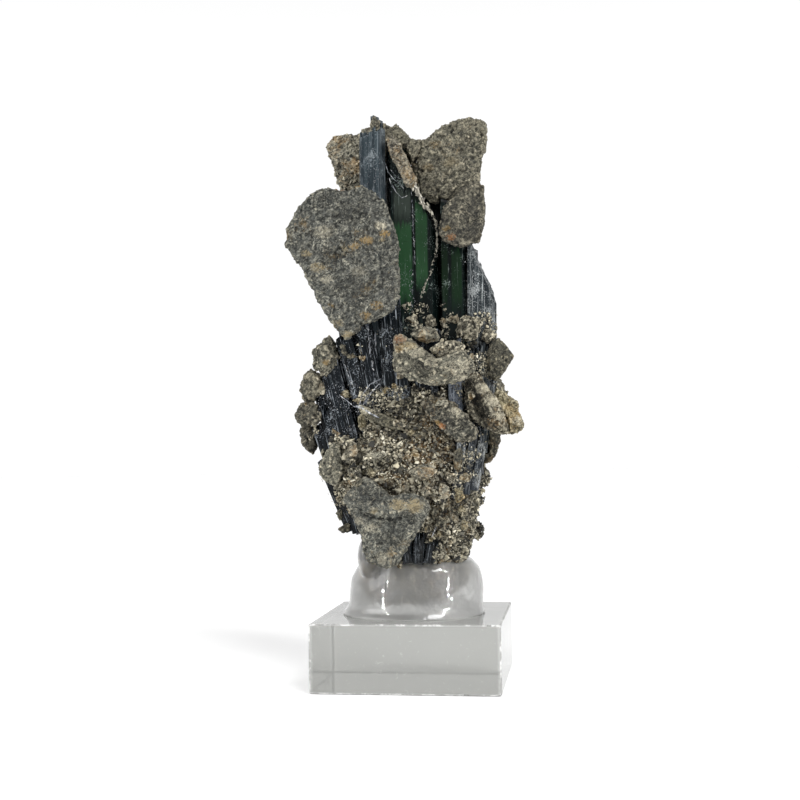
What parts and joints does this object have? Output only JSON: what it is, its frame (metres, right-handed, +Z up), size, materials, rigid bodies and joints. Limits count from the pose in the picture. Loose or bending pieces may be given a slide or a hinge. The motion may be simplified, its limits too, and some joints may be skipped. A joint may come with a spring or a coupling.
{
  "type": "vivianite specimen",
  "caption": "Tall bundle of dark blade crystals with broken stones and gravel on it, held upright by a mound of clear glue on a clear square block.",
  "frame": {"origin": "centre of the clear block's underside", "axes": "+Z up along the tall crystals, -Y towards the viewer of the pictured side, +X to that viewer's right"},
  "size_m": [0.063, 0.05, 0.1585],
  "materials": {
    "vivianite": "glassy crystal faces, dark green to blue-black, with fine upright lines",
    "gravel": "rough, granular",
    "stone": "matt broken stone, mottled grey and tan with rusty stains",
    "glue": "milky clear, glossy skin",
    "acrylic": "clear, polished, slightly grey, with scuffed edges"
  },
  "bodies": {
    "root": {"vivianite_crystals": "vivianite", "gravel_matrix": "gravel", "left_slab": "stone", "upper_left_stone": "stone", "crown_stone": "stone", "crown_splinter": "stone", "upper_middle_stone": "stone", "upper_right_stone": "stone", "right_slab": "stone", "boat_stone": "stone", "nested_stone": "stone", "perched_pebble": "stone", "right_wedge": "stone", "right_flank_stone": "stone", "right_back_stone": "stone", "crumbly_stone": "stone", "crumbly_side_stone": "stone", "right_low_stone": "stone", "left_upper_pebble": "stone", "left_second_pebble": "stone", "left_third_pebble": "stone", "left_fourth_pebble": "stone", "low_left_wedge": "stone", "low_slab": "stone", "diagonal_stone": "stone", "thin_plate": "stone", "back_slab": "stone", "back_upper_stone": "stone", "back_right_stone": "stone", "back_left_stone": "stone", "back_low_stone": "stone", "glue_mound": "glue", "clear_block": "acrylic"}
  },
  "joints": []
}
